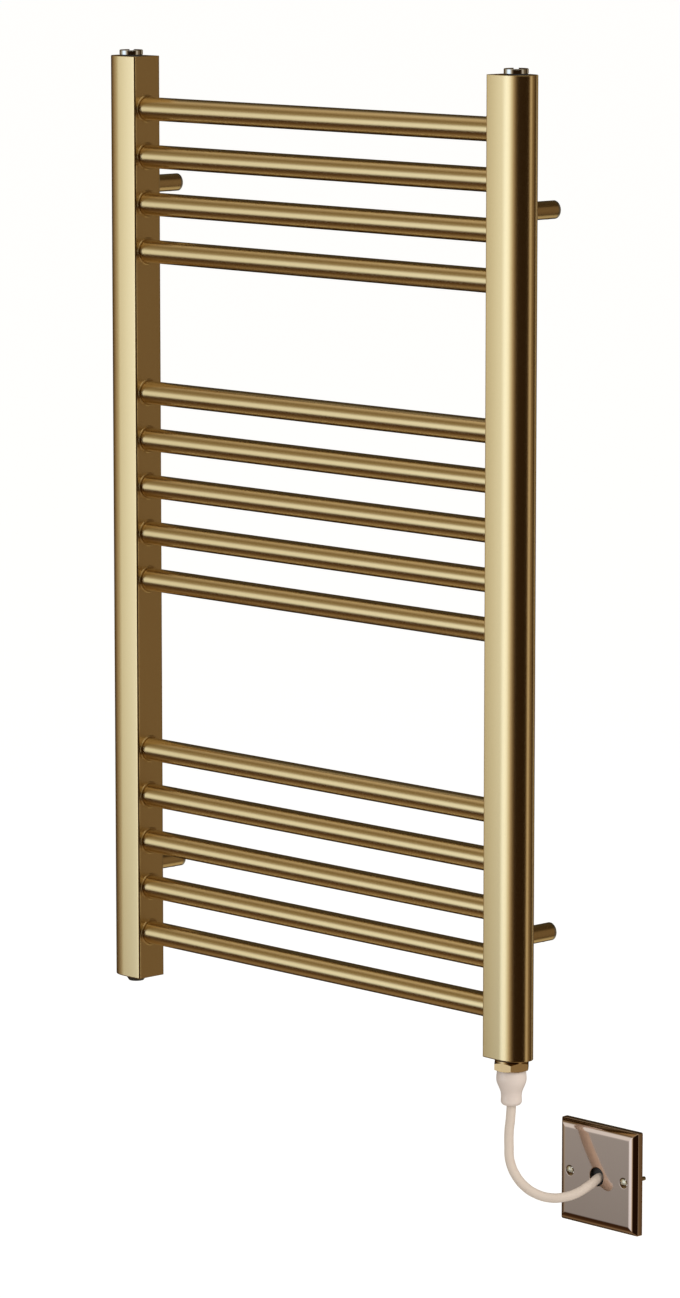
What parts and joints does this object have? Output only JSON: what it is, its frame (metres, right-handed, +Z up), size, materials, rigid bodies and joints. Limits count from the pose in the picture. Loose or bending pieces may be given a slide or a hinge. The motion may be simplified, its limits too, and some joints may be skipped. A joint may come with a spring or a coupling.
{
  "type": "towel warmer rack",
  "caption": "Wall-hung ladder towel rail with D-section uprights and grouped round bars, electric heating element with flex to a square outlet plate, top air vents and a blanking plug.",
  "frame": {"origin": "on the wall plane, at the middle of the four wall fixings", "axes": "+Z up, +X to the right as seen from the room, +Y into the wall"},
  "size_m": [0.582, 0.0796, 0.944],
  "materials": {
    "satin_brass": "satin",
    "chrome": "polished",
    "seal_rubber": "matt",
    "black_plastic": "matt",
    "element_brass": "satin",
    "stainless_sheath": "drawn",
    "tinned_metal": "plated",
    "head_plastic": "satin",
    "cord_pvc": "satin",
    "polished_nickel": "polished",
    "nickel_screws": "polished",
    "zinc_steel": "plated"
  },
  "bodies": {
    "rail": {"left_upright": "satin_brass", "right_upright": "satin_brass", "bar_01": "satin_brass", "bar_02": "satin_brass", "bar_03": "satin_brass", "bar_04": "satin_brass", "bar_05": "satin_brass", "bar_06": "satin_brass", "bar_07": "satin_brass", "bar_08": "satin_brass", "bar_09": "satin_brass", "bar_10": "satin_brass", "bar_11": "satin_brass", "bar_12": "satin_brass", "bar_13": "satin_brass", "bar_14": "satin_brass", "left_top_cap": "satin_brass", "right_top_cap": "satin_brass", "left_bottom_cap": "satin_brass", "right_bottom_cap": "satin_brass", "left_vent_seal": "seal_rubber", "right_vent_seal": "seal_rubber", "left_vent_body": "chrome", "right_vent_body": "chrome", "blanking_seal": "seal_rubber", "blanking_plug": "black_plastic", "element_seal": "seal_rubber", "element_body": "element_brass", "heating_rod": "stainless_sheath", "thermal_fuse": "tinned_metal", "crimp_sleeves": "tinned_metal", "element_head": "head_plastic", "cord": "cord_pvc", "outlet_plate": "polished_nickel", "plate_screws": "nickel_screws", "outlet_carrier": "black_plastic", "terminals": "element_brass", "terminal_screws": "zinc_steel", "cord_clamp": "black_plastic", "clamp_screws": "zinc_steel", "upper_left_wall_peg": "zinc_steel", "upper_right_wall_peg": "zinc_steel", "lower_left_wall_peg": "zinc_steel", "lower_right_wall_peg": "zinc_steel", "upper_left_post_sleeve": "satin_brass", "upper_right_post_sleeve": "satin_brass", "lower_left_post_sleeve": "satin_brass", "lower_right_post_sleeve": "satin_brass", "upper_left_post_stud": "zinc_steel", "upper_right_post_stud": "zinc_steel", "lower_left_post_stud": "zinc_steel", "lower_right_post_stud": "zinc_steel", "grub_screws": "zinc_steel"},
    "left_bleed": {"left_bleed_screw": "chrome"},
    "right_bleed": {"right_bleed_screw": "chrome"}
  },
  "joints": [
    {"name": "left_bleed_turn", "type": "hinge", "parent": "rail", "child": "left_bleed", "pos_m": [-0.23, -0.0485, 0.409], "axis": [0, 0, 1], "range_deg": [0, 360]},
    {"name": "right_bleed_turn", "type": "hinge", "parent": "rail", "child": "right_bleed", "pos_m": [0.23, -0.0485, 0.409], "axis": [0, 0, 1], "range_deg": [0, 360]}
  ]
}
